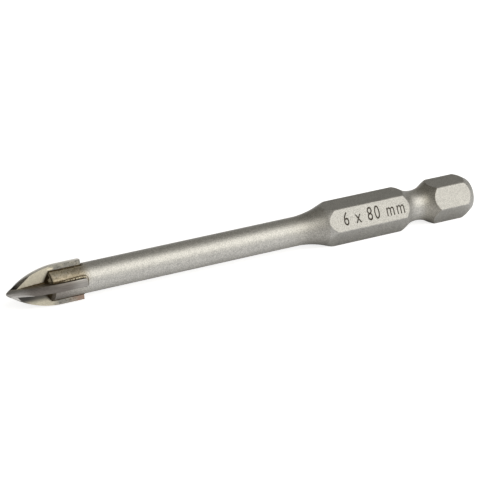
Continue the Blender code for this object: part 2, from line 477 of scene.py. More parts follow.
# %% [markdown]
# Dried flux also leaves specks. A second group makes scattered spots: noise that is cut off high, so
# that only its peaks are left. More or fewer of them come with the threshold.

# %% Group: scattered specks
def build_speck_group():
    inputs = {"Size": 0.2, "Threshold": 0.62, "Softness": 0.08}
    group, given, result = new_group("scattered_specks", inputs, ("Mask",))
    peaks = object_noise(group, given["Size"], Detail=1.0)
    full = math_node(group, "ADD", given["Threshold"], given["Softness"])
    group.links.new(ramp(group, peaks, given["Threshold"], full), result["Mask"])
    return group


speck_group = build_speck_group()
print("group", speck_group.name, "with", len(speck_group.nodes), "nodes")


def specks(tree, size, threshold, softness=0.08):
    return use_group(tree, speck_group, Size=size, Threshold=threshold, Softness=softness)["Mask"]


# %% [markdown]
# The shank is steel with a satin, blasted, slightly warm surface. It is metal all through, so its
# Metallic is 1 and its colour is the colour of its reflections. The hexagon and the taper are made a
# little darker in colour than the shaft and the groove. The groove's rear slope is darker still, with
# painted shade. A cone of the slope's own angle finds it, because points on it lie on that cone.

# %% Steel: bar, taper and groove
steel_color = (0.450, 0.440, 0.413, 1.0)
hexagon_darkening = (0.845, 0.845, 0.845, 1.0)
taper_darkening = (0.86, 0.85, 0.83, 1.0)
shoulder_painted_shade = (0.73, 0.71, 0.665, 1.0)
hex_front = 25.7 * MM
groove_centre = 10.0 * MM
groove_half_width = 3.2 * MM
groove_slope = math.radians(31.0)


def tint(color, factor):
    return tuple(min(channel * factor, 1.0) for channel in color[:3]) + (1.0,)


def sharp_floor():
    """The radius at which the groove's two slopes would meet."""
    return hex_corner_radius - math.tan(groove_slope) * groove_half_width


def bare_steel(tree, place, shade):
    """The colour of the turned steel before any stain."""
    darkest, lightest = tint(steel_color, 0.75), tint(steel_color, 1.25)
    color = blend_colors(tree, ramp(tree, shade, 0.34, 0.66), darkest, lightest)
    from_groove = minus(tree, place["From Tip"], (overall_length - groove_centre) / MM)
    to_groove = math_node(tree, "ABSOLUTE", from_groove)
    taper_start = (overall_length - hex_front) / MM - 3.3
    on_bar = along_bit(tree, place, taper_start - 3.0, taper_start)
    color = filter_color(tree, color, hexagon_darkening, both(tree, on_bar, ramp(tree, to_groove, 1.0, 2.4)))
    below_flats = ramp(tree, place["Radius"], 3.20, 3.10)
    near_hexagon = both(tree, along_bit(tree, place, 44.5, 50.0), along_bit(tree, place, 60.0, 58.0))
    color = filter_color(tree, color, taper_darkening, both(tree, below_flats, near_hexagon))
    # Painted shade: the groove's rear slope is darkened.
    cone_radius = times_plus(tree, to_groove, math.tan(groove_slope), sharp_floor() / MM)
    inside_cone = minus(tree, cone_radius, place["Radius"])
    shaded_shoulder = both(tree, ramp(tree, inside_cone, 0.04, 0.01), ramp(tree, from_groove, -0.3, 1.5))
    return filter_color(tree, color, shoulder_painted_shade, shaded_shoulder)


# %% [markdown]
# Near the plates the steel carries the brazing stain. A golden haze surrounds the plates. In the two
# quarters of Same Side a brown film lies beside the near and the far blade, with light flecks and
# dark specks of flux over it. A violet film dulls the other two quarters.

# %% Steel: stain of the brazing
nose_from_tip = 6.6
haze_gold = (0.97, 0.87, 0.68, 1.0)
brown_film = (0.60, 0.585, 0.565, 1.0)
violet_film = (0.56, 0.53, 0.53, 1.0)
fleck_tan = (0.60, 0.52, 0.40, 1.0)
speck_brown = (0.12, 0.09, 0.055, 1.0)


def brazing_stain(tree, place, color):
    on_head = along_bit(tree, place, half_slot_back + 0.9, half_slot_back - 1.2)
    upper_side = ramp(tree, place["Toward Upper"], -0.6, 0.6, 0.15, 1.0)
    haze = both(tree, stain(tree, place["From Plate"], 3.2, 0.5), on_head, upper_side)
    color = filter_color(tree, color, haze_gold, haze)

    stained_side = both(tree, on_head, place["Same Side"])
    sideways = math_node(tree, "ABSOLUTE", place["Toward Near"])
    further_back = both(tree, ramp(tree, sideways, 0.9, 1.5), along_bit(tree, place, 7.8, 10.6))
    browned = both(tree, stained_side, either(tree, ramp(tree, sideways, 1.50, 2.10), further_back))
    film = blend_colors(tree, browned, white, brown_film)
    forward_part = along_bit(tree, place, half_slot_back + 0.3, nose_from_tip)
    dulled = both(tree, on_head, minus(tree, 1.0, place["Same Side"]), forward_part)
    color = filter_color(tree, color, blend_colors(tree, dulled, film, violet_film))

    flecks = both(tree, specks(tree, 0.42, 0.55), stained_side, 0.30)
    color = blend_colors(tree, flecks, color, fleck_tan)
    dark_specks = both(tree, specks(tree, 0.23, 0.60), stained_side, 0.65)
    return blend_colors(tree, dark_specks, color, speck_brown)


# %% [markdown]
# Dark lines mark where the filler ends: one beside each bead, and one on the rim of the nose. The
# nose's face behind the blades is darkened with painted shade, as in a recess between the blades, and
# much less on its outer ring beside the near and the far blade. The bead ran out widest behind these
# two, so its line stands off further there.

# %% Steel: dark lines of the flux, and painted shade on the nose face
bead_width = 0.12
bead_width_at_end = 0.10
rim_from_tip = nose_from_tip + 0.08
lower_rim_from_tip = nose_from_tip + 0.42
run_out_start = 7.4
run_out_full = 11.6
behind_blade = through_slot_back - 0.4


def bead_edge(tree, place):
    """How far the filler reaches beyond the slot."""
    ran_out = both(tree, place["Same Side"], along_bit(tree, place, run_out_start, run_out_full))
    ran_out = both(tree, place["Near Foot"], ran_out)
    behind = along_bit(tree, place, behind_blade, through_slot_back)
    wide = either(tree, ran_out, both(tree, place["Near Foot"], behind, 0.75))
    return times_plus(tree, wide, bead_width_at_end, bead_width)


def flux_lines_and_nose_shade(tree, place):
    from_line = math_node(tree, "ABSOLUTE", minus(tree, place["From Slot"], bead_edge(tree, place)))
    round_end = both(tree, place["Near Foot"], along_bit(tree, place, 10.4, 11.6), 0.75)
    strong = either(tree, times_plus(tree, place["Same Side"], 0.65, 0.3), round_end)
    before_shaft = along_bit(tree, place, half_slot_back + 0.9, half_slot_back + 0.4)
    line = both(tree, stain(tree, from_line, 0.13, 0.3), strong, before_shaft)

    from_rim = math_node(tree, "ABSOLUTE", minus(tree, place["From Tip"], rim_from_tip))
    rim_line = both(tree, ramp(tree, from_rim, 0.12, 0.05), place["Same Side"])
    lower_rim = along_bit(tree, place, lower_rim_from_tip + 0.04, lower_rim_from_tip)
    lower_rim = both(tree, lower_rim, minus(tree, 1.0, place["Same Side"]))
    rims = times(tree, either(tree, rim_line, lower_rim), 0.76)

    # Painted shade on the nose face between the blades, much less on its outer ring beside the near and far
    # blade.
    nose_face_shade = along_bit(tree, place, nose_from_tip + 0.01, nose_from_tip - 0.05)
    outer_ring = ramp(tree, place["Radius"], 1.55, 1.80)
    unshaded_ring = both(tree, outer_ring, place["Near Foot"], place["Same Side"])
    return either(tree, line, rims, both(tree, nose_face_shade, times_plus(tree, unshaded_ring, -0.8, 1.0)))


# %% [markdown]
# The steel's material puts these together in the order in which they came to the real bit: first the
# turned steel, then the stain of the heat, then the dark lines of dried flux on top, and with them the
# painted shade on the nose face.

# %% Material: blasted steel
def build_steel():
    material, tree, shader = new_material("blasted_steel", Metallic=1.0)
    place = use_group(tree, place_group)
    grain = use_group(tree, grain_group, Grain_Size=0.16, Cloud_Size=1.4, Cloud_Share=0.12)
    color = brazing_stain(tree, place, bare_steel(tree, place, grain["Shade"]))
    color = blend_colors(tree, flux_lines_and_nose_shade(tree, place), color, flux_and_shade_brown)
    roughness = ramp(tree, grain["Shade"], 0.25, 0.75, 0.44, 0.56)
    finish_surface(tree, shader, color, roughness, grain["Height"], strength=0.4, depth=0.02)
    return material


steel_material = build_steel()
print("material", steel_material.name, "with", len(steel_material.node_tree.nodes), "nodes")

# %% [markdown]
# A laser burns the numbers two hundredths of a millimetre deep and leaves dark brown oxide in them.

# %% Material: laser mark
oxide_dark = (0.020, 0.015, 0.010, 1.0)
oxide_light = (0.075, 0.062, 0.046, 1.0)


def build_laser_mark():
    material, tree, shader = new_material("laser_oxide", Metallic=0.5, Roughness=0.6)
    grain = use_group(tree, grain_group, Grain_Size=0.10, Cloud_Size=0.5, Cloud_Share=0.3)
    burnt = blend_colors(tree, grain["Shade"], oxide_dark, oxide_light)
    tree.links.new(burnt, shader.inputs["Base Color"])
    return material


laser_material = build_laser_mark()

# %% [markdown]
# The plates are pressed and sintered carbide. Their broad sides keep the sintered skin, which is
# rough and takes a yellowish tone from the brazing heat. Behind the nose it is greyer and specked,
# and the lower blade's end has a reddish heat tint.

# %% Carbide: sintered skin
skin_dark = (0.495, 0.457, 0.366, 1.0)
skin_light = (0.67, 0.627, 0.513, 1.0)
skin_rear = (0.27, 0.262, 0.236, 1.0)
heat_tint = (0.31, 0.225, 0.18, 1.0)


def sintered_skin(tree, place, shade):
    skin = blend_colors(tree, ramp(tree, shade, 0.34, 0.66), skin_dark, skin_light)
    behind_nose = along_bit(tree, place, nose_from_tip + 0.1, nose_from_tip + 1.2)
    patches = specks(tree, 0.7, 0.36, 0.22)
    aged = times(tree, behind_nose, times_plus(tree, patches, 0.35, 0.65))
    skin = blend_colors(tree, aged, skin, skin_rear)
    specked = both(tree, behind_nose, specks(tree, 0.20, 0.56), 0.55)
    skin = blend_colors(tree, specked, skin, flux_and_shade_brown)
    below = ramp(tree, place["Toward Upper"], -1.0, -1.6)
    heated = both(tree, below, along_bit(tree, place, 9.0, 11.2), ramp(tree, patches, 0.0, 1.0, 0.6, 1.0))
    return blend_colors(tree, heated, skin, heat_tint)


# %% [markdown]
# A line of dark flux runs along each blade's foot. Painted shade, with some flux, darkens the skin on
# the upper side of the near blade, in the inner corners and in the recess before the nose. Under the
# through plate a painted shadow lies on the skin, and on the upper blade a patch beside the nose is
# golden filler with a painted highlight.

# %% Carbide: flux, filler and painted shade on the skin
shaft_radius_mm = 2.3
painted_shadow_color = (0.060, 0.057, 0.052, 1.0)
highlit_filler_gold = (0.80, 0.74, 0.58, 1.0)


def flux_and_shade_on_skin(tree, place, from_foot, upright):
    # Painted shade, with some flux, on the near blade's upper side, in the inner corners and in the recess
    # before the nose. The foot line is flux.
    on_near_plate = both(tree, place["Near Foot"], ramp(tree, place["From Corner"], 0.0, 0.06))
    near_side_shade = both(tree, on_near_plate, place["Same Side"], along_bit(tree, place, 1.6, 2.6, 0.45, 0.97))
    corner_width = along_bit(tree, place, 4.4, 6.2, 0.24, 0.46)
    corner = stain(tree, place["From Corner"], corner_width, 0.5)
    corner = both(tree, corner, along_bit(tree, place, 1.5, 5.0, 0.2, 1.0))
    slanted = times_plus(tree, place["Radius"], -0.75, place["From Tip"])
    near_nose = ramp(tree, slanted, nose_from_tip - 2.05, nose_from_tip - 1.35)
    inside = ramp(tree, place["Radius"], shaft_radius_mm + 0.10, shaft_radius_mm - 0.20)
    before_rim = along_bit(tree, place, nose_from_tip + 0.05, nose_from_tip - 0.05)
    by_rim = both(tree, upright, along_bit(tree, place, nose_from_tip + 1.3, nose_from_tip + 0.9))
    foot_line = stain(tree, from_foot, times_plus(tree, by_rim, 0.10, 0.17), 0.3)
    behind_rim = along_bit(tree, place, nose_from_tip, nose_from_tip + 0.2)
    foot_line = both(tree, foot_line, behind_rim, times_plus(tree, place["Same Side"], 0.75, 0.2))
    dark = either(tree, corner, both(tree, near_nose, inside, before_rim), foot_line, near_side_shade)
    return times(tree, dark, 0.985)


def painted_shadow_on_skin(tree, place):
    # A painted shadow that the through plate casts on the skin beside it.
    beside = both(tree, minus(tree, 1.0, place["Same Side"]), ramp(tree, place["From Corner"], 1.60, 0.66))
    shadowed = both(tree, beside, along_bit(tree, place, 1.2, 1.7))
    return times(tree, shadowed, along_bit(tree, place, 2.8, 5.2, 1.0, 0.88))


def wetted_highlight_patch(tree, place, from_foot, upright, shade):
    """An oval of golden filler with a painted highlight, beside the nose, whose border the grain breaks up.
    """
    height = math_node(tree, "DIVIDE", minus(tree, from_foot, 0.33), 0.14)
    length = math_node(tree, "DIVIDE", minus(tree, place["From Tip"], nose_from_tip + 0.50), 0.52)
    uneven_oval = times_plus(tree, shade, 1.6, minus(tree, length_of(tree, height, length), 0.8))
    return both(tree, ramp(tree, uneven_oval, 1.35, 0.55), upright, place["Same Side"])


# %% [markdown]
# The skin is partly oxide, so this material is a little less than metal. Flux and painted shade come
# last, because they lie over everything else.

# %% Material: sintered carbide
def build_sintered():
    material, tree, shader = new_material("sintered_carbide", Metallic=0.6)
    place = use_group(tree, place_group)
    grain = use_group(tree, grain_group, Grain_Size=0.14, Cloud_Size=0.6, Cloud_Share=0.3)
    from_foot = minus(tree, place["Radius"], shaft_radius_mm)
    upright = minus(tree, 1.0, place["Near Foot"])
    skin = sintered_skin(tree, place, grain["Shade"])
    wetted_highlight = wetted_highlight_patch(tree, place, from_foot, upright, grain["Shade"])
    skin = blend_colors(tree, wetted_highlight, skin, highlit_filler_gold)
    skin = blend_colors(tree, painted_shadow_on_skin(tree, place), skin, painted_shadow_color)
    skin = blend_colors(tree, flux_and_shade_on_skin(tree, place, from_foot, upright), skin, flux_and_shade_brown)
    roughness = ramp(tree, grain["Shade"], 0.25, 0.75, 0.5, 0.62)
    finish_surface(tree, shader, skin, roughness, grain["Height"], strength=0.35, depth=0.015)
    return material


sintered_material = build_sintered()
print("material", sintered_material.name, "with", len(sintered_material.node_tree.nodes), "nodes")

# %% [markdown]
# The plates' edges were ground after the brazing and show newly ground, smoother metal with grinding
# marks. The lands are the narrow round faces on the cutting diameter. The through plate's lands carry
# painted shade along their middle, and the other lands a painted highlight from a few millimetres
# behind the tip. The relief is the slanting face behind each cutting edge, and painted shade makes it
# darkest on the upper blade, just behind the tip.

# %% Carbide: ground lands and reliefs
land_painted_shade = (0.175, 0.158, 0.142, 1.0)
land_fresh = (0.325, 0.310, 0.290, 1.0)
land_painted_highlight = (0.80, 0.77, 0.70, 1.0)
relief_fresh = (0.53, 0.515, 0.49, 1.0)
relief_shade_at_tip = (0.035, 0.032, 0.029, 1.0)
relief_shade_behind_tip = (0.225, 0.207, 0.178, 1.0)


def streaked(tree, marks, color, darkest):
    streaks = blend_colors(tree, ramp(tree, marks["Shade"], 0.32, 0.68), tint(white, darkest), white)
    return filter_color(tree, color, streaks)


def build_land():
    material, tree, shader = new_material("ground_land", Metallic=1.0)
    place = use_group(tree, place_group)
    marks = use_group(tree, grinding_group, Spacing=0.10, Length=1.6)
    upright = minus(tree, 1.0, place["Near Foot"])
    # The through plate's lands get painted shade along their middle, and the other lands a painted highlight
    # from a few millimetres behind the tip.
    unshaded_land = either(tree, along_bit(tree, place, 3.6, 1.6), along_bit(tree, place, 8.4, 11.4), upright)
    metal = blend_colors(tree, unshaded_land, land_painted_shade, land_fresh)
    highlit_land = both(tree, upright, along_bit(tree, place, 2.0, 5.0))
    metal = streaked(tree, marks, blend_colors(tree, highlit_land, metal, land_painted_highlight), 0.76)
    roughness = ramp(tree, marks["Shade"], 0.25, 0.75, 0.35, 0.45)
    finish_surface(tree, shader, metal, roughness, marks["Shade"], strength=0.35, depth=0.01)
    return material


def build_relief():
    material, tree, shader = new_material("ground_relief", Metallic=1.0)
    place = use_group(tree, place_group)
    marks = use_group(tree, grinding_group, Spacing=0.10, Length=0.8)
    upright = minus(tree, 1.0, place["Near Foot"])
    # The upper blade's relief gets painted shade, darkest just behind the tip.
    upward = both(tree, upright, ramp(tree, place["Toward Upper"], 0.0, 0.4))
    shaded = blend_colors(tree, along_bit(tree, place, 1.2, 2.2), relief_shade_at_tip, relief_shade_behind_tip)
    metal = streaked(tree, marks, blend_colors(tree, upward, relief_fresh, shaded), 0.78)
    roughness = ramp(tree, marks["Shade"], 0.25, 0.75, 0.24, 0.34)
    finish_surface(tree, shader, metal, roughness, marks["Shade"], strength=0.3, depth=0.006)
    return material


land_material = build_land()
relief_material = build_relief()

# %% [markdown]
# The braze is a copper and zinc alloy. Where it shows it is golden, with brown oxide over much of it.

# %% Material: braze
bare_braze = (0.43, 0.38, 0.28, 1.0)


def build_braze():
    material, tree, shader = new_material("braze", Metallic=0.9)
    place = use_group(tree, place_group)
    grain = use_group(tree, grain_group, Grain_Size=0.16, Cloud_Size=0.40, Cloud_Share=0.5)
    on_steel = along_bit(tree, place, nose_from_tip - 0.1, nose_from_tip + 0.2)
    round_near = both(tree, place["Near Foot"], place["Same Side"], along_bit(tree, place, 7.6, 9.4))
    round_end = both(tree, place["Near Foot"], along_bit(tree, place, 11.75, 11.95))
    clean = both(tree, on_steel, either(tree, round_near, round_end))
    patches = both(tree, clean, ramp(tree, grain["Shade"], 0.42, 0.56))
    few = both(tree, on_steel, ramp(tree, grain["Shade"], 0.58, 0.66), 0.6)
    metal = blend_colors(tree, either(tree, patches, few), tint(flux_and_shade_brown, 1.3), bare_braze)
    roughness = ramp(tree, grain["Shade"], 0.3, 0.7, 0.6, 0.38)
    finish_surface(tree, shader, metal, roughness, grain["Shade"], strength=0.5, depth=0.02)
    return material


braze_material = build_braze()

# %% [markdown]
# The shank is turned from hexagon bar, so it is made as a lathe would make it, from a profile. The
# profile is a wire of eleven corners, worked out from the sizes that a drawing would give. Each
# corner also says how much of the wire its round takes up.

# %% Shank: profile
end_face_radius = 2.60 * MM
end_chamfer_angle = math.radians(31.0)
groove_floor_radius = 2.38 * MM
taper_slope = math.radians(20.0)
taper_blend = 13.0 * MM
shaft_radius = shaft_radius_mm * MM
nose_chamfer = 0.20 * MM
nose_cone_half_angle = math.radians(59.0)
end_round = 0.12 * MM
groove_edge_round = 0.15 * MM
front_edge_round = 0.30 * MM
nose_shoulder_round = 0.05 * MM
nose_rim_round = 0.04 * MM


def shank_corners():
    """Each corner of the profile: place along the axis, radius, and tangent length of its round."""
    chamfer_end = (hex_corner_radius - end_face_radius) / math.tan(end_chamfer_angle)
    floor_arc = (groove_floor_radius - sharp_floor()) / (1 / math.cos(groove_slope) - 1)
    taper_end = hex_front + (hex_corner_radius - shaft_radius) / math.tan(taper_slope)
    rim = overall_length - nose_from_tip * MM
    rim_radius = shaft_radius - nose_chamfer
    return [
        (0.0, 0.0, 0.0),
        (0.0, end_face_radius, end_round),
        (chamfer_end, hex_corner_radius, end_round),
        (groove_centre - groove_half_width, hex_corner_radius, groove_edge_round),
        (groove_centre, sharp_floor(), floor_arc * math.tan(groove_slope)),
        (groove_centre + groove_half_width, hex_corner_radius, groove_edge_round),
        (hex_front, hex_corner_radius, front_edge_round),
        (taper_end, shaft_radius, taper_blend * math.tan(taper_slope / 2)),
        (rim - nose_chamfer, shaft_radius, nose_shoulder_round),
        (rim, rim_radius, nose_rim_round),
        (rim + rim_radius / math.tan(nose_cone_half_angle), 0.0, 0.0),
    ]


# %% [markdown]
# The wire's corners are rounded with a vertex bevel, which puts an exact arc in each, and then the
# wire is spun once round the axis. Spinning gives a true round form at any fineness.

# %% Shank: turned form
round_steps = 192


def turn_wire(corners, arc_segments):
    """Round the corners of a wire profile and spin it about the bit's axis."""
    bm = bmesh.new()
    verts = [bm.verts.new((along, radius, 0.0)) for along, radius, _ in corners]
    for pair in zip(verts, verts[1:]):
        bm.edges.new(pair)
    for vert, (_, _, tangent) in zip(verts, corners):
        if tangent:
            bmesh.ops.bevel(
                bm, geom=[vert], offset=tangent, offset_type="OFFSET", segments=arc_segments,
                profile=0.5, affect="VERTICES", material=-1,
            )
    bmesh.ops.spin(
        bm, geom=whole(bm), cent=(0, 0, 0), axis=(1, 0, 0), angle=2 * math.pi,
        steps=round_steps, use_merge=True,
    )
    bmesh.ops.remove_doubles(bm, verts=bm.verts, dist=merge_distance)
    bmesh.ops.recalc_face_normals(bm, faces=bm.faces)
    return bm


shank_bm = turn_wire(shank_corners(), arc_segments=10)
print("turned form:", len(shank_bm.faces), "faces")

# %% [markdown]
# The hexagon is what the bar had before it was turned. Six plane cuts bring it back: wherever the
# turned form stands out beyond a flat, it is cut off. The curved ends of each flat come by
# themselves, because they are where the plane meets the chamfer, the groove and the taper.

# %% Shank: hexagon flats and broken edges
hex_edge_break = 0.05 * MM
sliver_size = 0.004 * MM
for side in range(6):
    outward = clock(30.0 + 60.0 * side).to_3x3() @ Vector((0, 1, 0))
    cut_flat(shank_bm, outward * hex_half, outward)
bmesh.ops.remove_doubles(shank_bm, verts=shank_bm.verts, dist=sliver_size)
softened = soften_edges(shank_bm, hex_edge_break, least_angle=13.0)
shank = make_object(shank_bm, "shank", steel_material, laser_material)
print(softened, "edges broken")

# %% [markdown]
# A milling cutter makes the two crossed slots. Each slot is a block whose closed end has rounded
# corners. A Boolean cuts it, because the slots cross each other and the curved faces of the nose.

# %% Shank: slots for the plates
def make_slot(plate_length, degrees):
    bm = bmesh.new()
    back = overall_length - plate_length - slot_end_clearance
    slot_width = plate_thickness + 2 * braze_film
    bmesh.ops.create_cube(bm, size=1.0)
    bmesh.ops.scale(bm, verts=bm.verts, vec=(overall_length - back, slot_width, 3 * hex_corner_radius))
    bmesh.ops.translate(bm, verts=bm.verts, vec=((overall_length + back) / 2, 0, 0))
    closed_end = [edge for edge in bm.edges if max(vert.co.x for vert in edge.verts) < back + merge_distance]
    upright = [edge for edge in closed_end if abs(edge.verts[0].co.z - edge.verts[1].co.z) > slot_width]
    bmesh.ops.bevel(
        bm, geom=upright, offset=slot_corner, offset_type="OFFSET", segments=8, profile=0.5,
        affect="EDGES", material=-1,
    )
    bmesh.ops.transform(bm, matrix=clock(degrees), verts=bm.verts)
    return make_object(bm, "slot", steel_material)


carve(shank, make_slot(through_plate_length, blade_clocking + 90.0))
carve(shank, make_slot(half_plate_length, blade_clocking))
report_piece(shank)

# %% [markdown]
# Such bits carry their size on one flat of the hexagon. The numbers here are plain ones: the
# drill's nominal diameter and its length in millimetres. Text makes closed letters with a depth.
# They are squeezed to a narrow hand, laid on the flat, and cut in by two hundredths of a millimetre.

# %% Shank: engraved size
mark_text = "6 x 80 mm"
mark_height = 2.15 * MM
capitals_per_size = 0.70
mark_squeeze = 0.68
letter_spacing = 1.25
letter_weight = 0.006 * MM
mark_depth = 0.02 * MM
mark_centre = 18.9 * MM


def make_mark():
    text = bpy.data.curves.new("mark", "FONT")
    text.body = mark_text
    text.size = mark_height / capitals_per_size
    text.align_x = "CENTER"
    text.align_y = "CENTER"
    text.space_character = letter_spacing
    text.offset = letter_weight
    text.extrude = mark_depth
    text.resolution_u = 6
    carrier = add_object("mark", text)
    evaluated = carrier.evaluated_get(bpy.context.evaluated_depsgraph_get())
    bm = bmesh.new()
    bm.from_mesh(evaluated.to_mesh())
    bpy.data.objects.remove(carrier)
    bmesh.ops.scale(bm, verts=bm.verts, vec=(mark_squeeze, 1.0, 1.0))
    reading = Matrix(((-1, 0, 0, mark_centre), (0, 0, 1, hex_half), (0, 1, 0, 0), (0, 0, 0, 1)))
    bmesh.ops.transform(bm, matrix=clock(30.0) @ reading, verts=bm.verts)
    return make_object(bm, "mark", laser_material)


carve(shank, make_mark())
smooth_with_flats(shank, sharp_angle=24.0)
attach(shank, "root")
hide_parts("steel_shank")
report_piece(shank)

# %% [markdown]
# All four blades are ground together to one round, pointed form, so that form is spun first. Its
# outline is an arc that runs tangent into the full cutting radius. The stations along it lie closer
# together near the tip, where the outline bends most.

# %% Carbide: the ground form
cutting_radius = 3.1 * MM
point_length = 8.4 * MM
tip_round = 0.15 * MM
tip_round_reach = 1.5 * MM
point_steps = 32
crowding = 1.5


def point_radius(from_tip):
    """The radius of the ground point at a distance behind its tip."""
    arc = (cutting_radius ** 2 + point_length ** 2) / (2 * cutting_radius)
    left = max(point_length - from_tip, 0.0)
    pointed = math.sqrt(arc ** 2 - left ** 2) - (arc - cutting_radius)
    share_of_round = max(1 - from_tip / tip_round_reach, 0.0) ** 2
    return math.sqrt(pointed ** 2 + 2 * tip_round * from_tip * share_of_round)


def ground_form():
    stations = [point_length * (step / point_steps) ** crowding for step in range(point_steps + 1)]
    corners = [(overall_length - station, point_radius(station), 0.0) for station in stations]
    back = overall_length - 2 * point_length
    corners += [(back, cutting_radius, 0.0), (back, 0.0, 0.0)]
    return turn_wire(corners, arc_segments=1)


# %% [markdown]
# The relief is a slanting cut behind each cutting edge, which leaves only a narrow land to rub. The
# wheel that cuts the relief of one blade also takes off the root of the half plate beside it, at a
# steeper angle. Both are planes, so a point on the plane and its normal are all that a cut needs.

# %% Carbide: the relief
relief_length = 3.8 * MM
through_relief_line = math.radians(32.0)
half_relief_line = math.radians(35.0)
relief_bevel = math.radians(50.0)
root_bevel = math.radians(68.0)


def relief_plane(line, bevel):
    """The slanting cut on the trailing side of a blade that points along +Y."""
    half = plate_thickness / 2
    outward = Vector((math.sin(line), math.cos(line), 0.0))
    normal = outward * math.sin(bevel) + Vector((0, 0, -1)) * math.cos(bevel)
    reach = math.sqrt(point_radius(relief_length) ** 2 - half ** 2)
    return Vector((overall_length - relief_length, reach, -half)), normal


# %% [markdown]
# A plate is a slice of the ground form. Two plane cuts make its sides and one its back, one more
# blunts the tip, and a half plate also gets its root cut. At the end each face takes the finish that
# its direction tells: the broad sides keep the sintered skin, and slants and lands are ground.

# %% Carbide: the plates
blunt_tip = 0.085 * MM
plate_edge_break = 0.018 * MM
least_plate_edge = 0.002 * MM
same_direction = 0.999
least_broad_area = MM ** 2


def finish_faces(bm, slants):
    """Give each face its material: 0 for the skin, 1 for the land, 2 for the relief."""
    for face in bm.faces:
        broad = abs(face.normal.z) > same_direction and face.calc_area() > least_broad_area
        relief = any(face.normal.dot(slant) > same_direction for slant in slants)
        face.material_index = 0 if broad else 2 if relief else 1


def make_plate(name, length, blades, node):
    """Slice one plate out of the ground form. blades holds the turns of its one or two edges."""
    bm = ground_form()
    half = plate_thickness / 2
    for sign in (1, -1):
        cut_flat(bm, Vector((0, 0, sign * half)), Vector((0, 0, sign)))
    cut_flat(bm, Vector((overall_length - length, 0, 0)), Vector((-1, 0, 0)))
    cut_flat(bm, Vector((overall_length - blunt_tip, 0, 0)), Vector((1, 0, 0)))
    if len(blades) == 2:
        turned_over = clock(180.0).to_3x3()
        cuts = [relief_plane(through_relief_line, relief_bevel)]
        cuts.append([turned_over @ part for part in cuts[0]])
    else:
        cut_flat(bm, Vector((0, half, 0)), Vector((0, -1, 0)))
        next_blade = clock(90.0).to_3x3()
        cuts = [relief_plane(half_relief_line, relief_bevel)]
        cuts.append([next_blade @ part for part in relief_plane(half_relief_line, root_bevel)])
    for point, normal in cuts:
        cut_flat(bm, point, normal)
    bmesh.ops.remove_doubles(bm, verts=bm.verts, dist=least_plate_edge)
    soften_edges(bm, plate_edge_break, least_angle=20.0)
    finish_faces(bm, [normal for _, normal in cuts])
    bmesh.ops.transform(bm, matrix=clock(blades[0]), verts=bm.verts)
    plate = make_object(bm, name, sintered_material, land_material, relief_material)
    smooth_with_flats(plate, sharp_angle=30.0)
    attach(plate, "root")
    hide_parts(node)
    report_piece(plate)


near_blade = blade_clocking
make_plate("through_plate", through_plate_length, (near_blade, near_blade + 180), "carbide_through_plate")
make_plate("upper_half_plate", half_plate_length, (near_blade + 90,), "carbide_half_plate_upper")
make_plate("lower_half_plate", half_plate_length, (near_blade + 270,), "carbide_half_plate_lower")

# %% [markdown]
# The braze ran as a thin liquid. It fills the slots round the plates, it stands in small uneven
# beads along each blade's foot and round behind it, and it tapers out along the inner corners in
# front. A bead is a small oval that is extruded step by step along its path, and each step is
# given a size of its own with noise, as a bead that ran by itself has.

# %% Braze: beads along a path
bead_sides = 14
bead_step = 0.10 * MM
bead_lump = 0.45 * MM
bead_unevenness = 0.35


def station_frame(place, along, radial, half_width, half_height):
    """The matrix that puts a unit circle on a path: x across the path, y away from the surface."""
    across = along.cross(radial).normalized()
    columns = (across * half_width, radial * half_height, along, place)
    return Matrix([[column[row] for column in columns] for row in range(3)] + [[0, 0, 0, 1]])


def sweep_bead(bm, stations):
    """Extrude an oval through all the stations, each one a placed frame, and cap both ends."""
    ring = bmesh.ops.create_circle(bm, segments=bead_sides, radius=1.0)["verts"]
    bmesh.ops.transform(bm, matrix=stations[0], verts=ring)
    rim = bm.edges[:]
    for before, after in zip(stations, stations[1:]):
        grown = bmesh.ops.extrude_edge_only(bm, edges=rim)["geom"]
        moved = [item for item in grown if isinstance(item, bmesh.types.BMVert)]
        rim = [item for item in grown if isinstance(item, bmesh.types.BMEdge)]
        bmesh.ops.transform(bm, matrix=after @ before.inverted(), verts=moved)
    bmesh.ops.holes_fill(bm, edges=[edge for edge in bm.edges if edge.is_boundary])


def uneven(place, seed, amount=bead_unevenness):
    return 1.0 + amount * noise.noise(place / bead_lump + Vector((seed, 0.0, 0.0)))


# %% [markdown]
# The path of a foot bead is the edge of the slot: back along one side, round the closed end, and
# forward along the other. It is worked out flat, as it would be drawn on the slot's plan.

# %% Braze: the path round a slot
def slot_edge_path(back, front):
    """Points on the slot's edge as (along, across), a bead's step apart."""
    half = plate_thickness / 2 + braze_film / 2
    turn_centre = back + slot_corner
    straight = int((front - turn_centre) / bead_step)
    points = [(front - (front - turn_centre) * step / straight, half) for step in range(straight)]
    turn_steps = 6
    for side in (1, -1):
        for step in range(turn_steps + 1):
            turn = math.radians(90) * (step / turn_steps if side == 1 else 1 - step / turn_steps)
            across = half - slot_corner * (1 - math.cos(turn))
            points.append((turn_centre - slot_corner * math.sin(turn), side * across))
    points += [(along, -across) for along, across in reversed(points[:straight])]
    return points


# %% [markdown]
# The path is laid on the round shaft by working out the shaft's height at each point. On the through
# plate the bead gets wider toward its closed end, where more filler ran out.

# %% Braze: beads round each blade's foot
bead_height = 0.10 * MM
bead_sink = 0.01 * MM
bead_front_gap = 0.12
wider_round_end = 0.3
shift_with_width = 0.8


